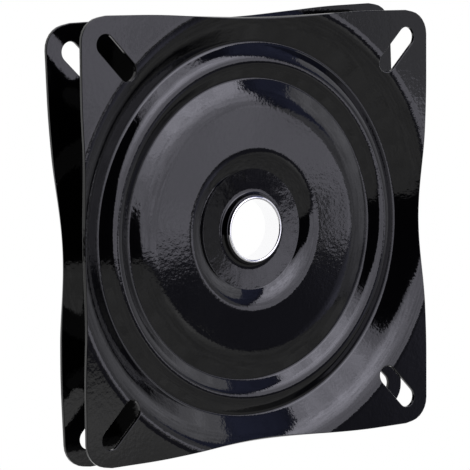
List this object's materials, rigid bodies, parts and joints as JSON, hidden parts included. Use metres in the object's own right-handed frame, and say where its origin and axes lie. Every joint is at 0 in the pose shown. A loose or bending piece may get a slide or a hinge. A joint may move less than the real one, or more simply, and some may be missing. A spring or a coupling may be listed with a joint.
{
  "type": "lazy susan bearing",
  "caption": "Square flat turntable bearing: pressed steel plates that turn on a caged ball race, with a diagonal fixing slot in each corner and an open riveted centre.",
  "frame": {"origin": "centre of the lower mounting face, on the axis of turning", "axes": "+Z along the axis of turning, from the bottom plate to the top plate; +X and +Y square to the edges of the top plate at rest"},
  "size_m": [0.1858, 0.1858, 0.0219],
  "materials": {
    "enamel": "gloss black enamel",
    "zinc": "bright zinc plate",
    "steel": "polished",
    "nylon": "natural moulded"
  },
  "bodies": {
    "base": {"bottom_plate": "enamel", "centre_eyelet": "zinc"},
    "top": {"top_plate": "enamel"},
    "cage": {"ball_cage": "nylon", "ball_01": "steel", "ball_02": "steel", "ball_03": "steel", "ball_04": "steel", "ball_05": "steel", "ball_06": "steel", "ball_07": "steel", "ball_08": "steel", "ball_09": "steel", "ball_10": "steel", "ball_11": "steel", "ball_12": "steel", "ball_13": "steel", "ball_14": "steel", "ball_15": "steel", "ball_16": "steel", "ball_17": "steel", "ball_18": "steel", "ball_19": "steel", "ball_20": "steel", "ball_21": "steel", "ball_22": "steel", "ball_23": "steel", "ball_24": "steel", "ball_25": "steel", "ball_26": "steel", "ball_27": "steel", "ball_28": "steel", "ball_29": "steel", "ball_30": "steel"}
  },
  "joints": [
    {"name": "top_turn", "type": "hinge", "parent": "base", "child": "top", "pos_m": [0, 0, 0], "axis": [0, 0, 1], "continuous": true},
    {"name": "cage_turn", "type": "hinge", "parent": "base", "child": "cage", "pos_m": [0, 0, 0], "axis": [0, 0, 1], "continuous": true}
  ],
  "couplings": [
    {"joint": "cage_turn", "follows": "top_turn", "ratio": 0.5}
  ]
}
